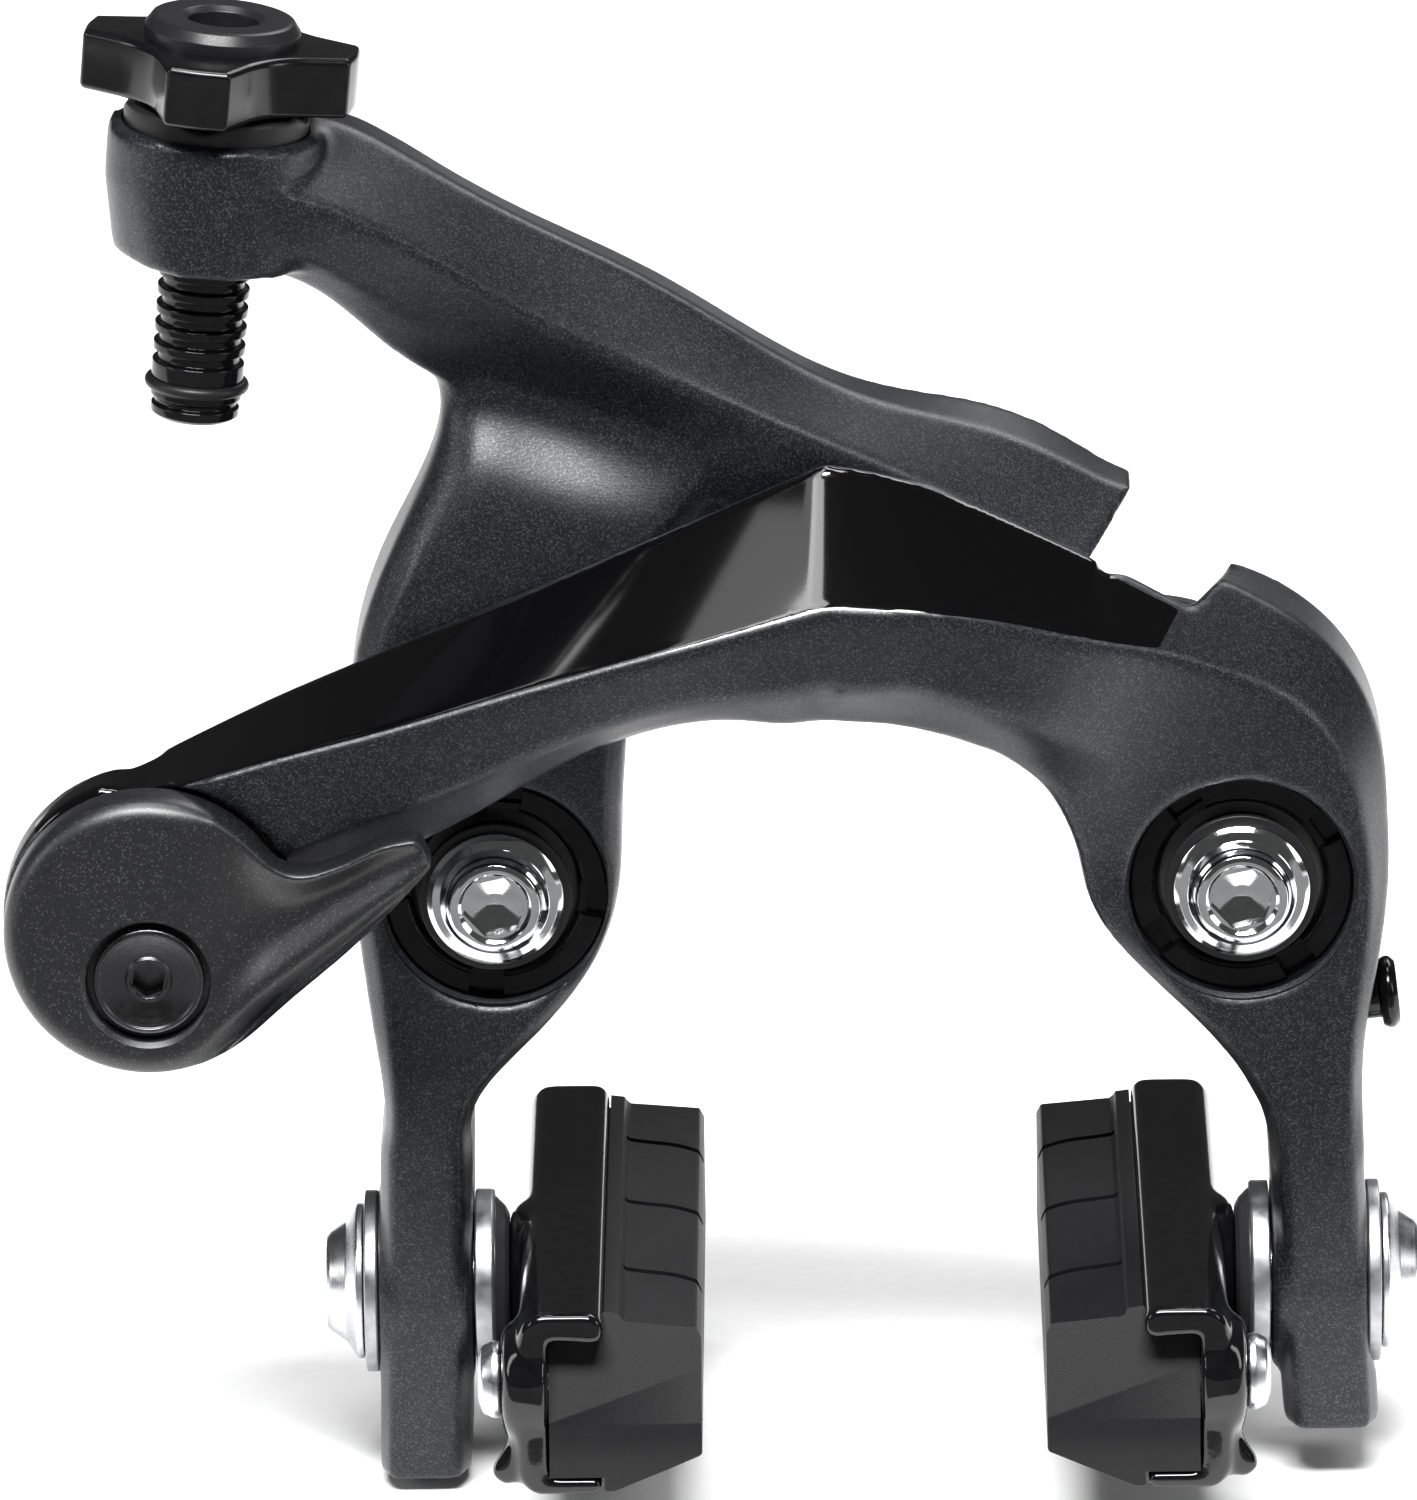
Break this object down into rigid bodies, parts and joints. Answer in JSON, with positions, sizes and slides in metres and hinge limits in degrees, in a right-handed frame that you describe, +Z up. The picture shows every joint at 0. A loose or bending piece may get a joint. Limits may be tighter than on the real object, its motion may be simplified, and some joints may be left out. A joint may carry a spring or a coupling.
{
  "type": "rim brake caliper",
  "caption": "Direct-mount rim brake caliper: linked pivoting arms, quick-release lever, cable anchor, barrel adjuster and cartridge shoes.",
  "frame": {"origin": "midway between the two mounting bolts, on the plane that meets the frame or fork", "axes": "+Z up, away from the wheel axle; +X to the right as seen from the front; +Y back, towards the frame or fork, along the mounting bolts"},
  "size_m": [0.106, 0.0547, 0.1141],
  "materials": {
    "link_plate": "black oxide",
    "pivot_sleeves": "zinc plated",
    "mounting_bolts": "polished",
    "return_spring_left": "spring steel",
    "left_arm": "satin dark grey paint with a fine metallic fleck",
    "bush_left": "self-lubricating polymer",
    "lock_ring_left": "gloss black paint",
    "brake_pad_left": "moulded brake compound",
    "adjuster_collar": "satin black",
    "quick_release_lever": "satin dark anodised",
    "cable_bolt": "dark turned steel",
    "adjuster_knob": "gloss black",
    "adjuster_barrel": "black anodised",
    "adjuster_o_ring": "soft black rubber"
  },
  "bodies": {
    "mounting": {"link_plate": "link_plate", "pivot_sleeves": "pivot_sleeves", "mounting_bolts": "mounting_bolts", "bolt_washers": "link_plate", "return_spring_left": "return_spring_left", "return_spring_right": "return_spring_left"},
    "left_side": {"left_arm": "left_arm", "bush_left": "bush_left", "lock_ring_left": "lock_ring_left", "shoe_holder_left": "lock_ring_left", "brake_pad_left": "brake_pad_left", "pad_screw_left": "mounting_bolts", "shoe_bolt_left": "mounting_bolts", "outer_washer_left": "pivot_sleeves", "inner_washer_left": "pivot_sleeves", "convex_washer_left": "link_plate", "adjuster_collar": "adjuster_collar"},
    "right_side": {"right_arm": "left_arm", "bush_right": "bush_left", "lock_ring_right": "lock_ring_left", "shoe_holder_right": "lock_ring_left", "brake_pad_right": "brake_pad_left", "pad_screw_right": "mounting_bolts", "shoe_bolt_right": "mounting_bolts", "outer_washer_right": "pivot_sleeves", "inner_washer_right": "pivot_sleeves", "convex_washer_right": "link_plate", "roller_pin": "link_plate", "centring_screw": "link_plate"},
    "roller": {"link_roller": "pivot_sleeves"},
    "release_lever": {"quick_release_lever": "quick_release_lever"},
    "cable_anchor": {"cable_bolt": "cable_bolt", "clamp_washer": "pivot_sleeves", "clamp_plate": "pivot_sleeves", "anchor_nut": "link_plate"},
    "adjuster_seat": {"adjuster_cap": "adjuster_collar"},
    "adjuster_turning": {"adjuster_knob": "adjuster_knob", "adjuster_barrel": "adjuster_barrel", "adjuster_o_ring": "adjuster_o_ring"}
  },
  "joints": [
    {"name": "right_arm_pivot", "type": "hinge", "parent": "mounting", "child": "right_side", "pos_m": [0.028, -0.0075, 0], "axis": [0, 1, 0], "range_deg": [0, 6.5], "stiffness_Nm_per_rad": 1.2, "springref_deg": -20.05, "deforming": ["return_spring_right"]},
    {"name": "left_arm_pivot", "type": "hinge", "parent": "mounting", "child": "left_side", "pos_m": [-0.028, -0.0075, 0], "axis": [0, 1, 0], "range_deg": [-6.5, 0], "deforming": ["return_spring_left"]},
    {"name": "roller_spin", "type": "hinge", "parent": "right_side", "child": "roller", "pos_m": [0, -0.0097, 0.0238], "axis": [0, 1, 0], "continuous": true},
    {"name": "lever_turn", "type": "hinge", "parent": "right_side", "child": "release_lever", "pos_m": [-0.0536, -0.019, 0.0012], "axis": [0, 1, 0], "range_deg": [0, 130]},
    {"name": "anchor_swivel", "type": "hinge", "parent": "release_lever", "child": "cable_anchor", "pos_m": [-0.0536, -0.02, -0.0021], "axis": [0, 1, 0], "range_deg": [-130, 0]},
    {"name": "adjuster_travel", "type": "slide", "parent": "left_side", "child": "adjuster_seat", "axis": [0.0941, 0, 0.9956], "range_m": [0, 0.004]},
    {"name": "adjuster_turn", "type": "hinge", "parent": "adjuster_seat", "child": "adjuster_turning", "pos_m": [-0.04738, -0.012, 0.06316], "axis": [0.0941, 0, 0.9956], "range_deg": [0, 1440]}
  ],
  "couplings": [
    {"joint": "left_arm_pivot", "follows": "right_arm_pivot", "ratio": -1},
    {"joint": "anchor_swivel", "follows": "lever_turn", "ratio": -1},
    {"joint": "adjuster_turn", "follows": "adjuster_travel", "rad_per_m": 6283.2}
  ]
}
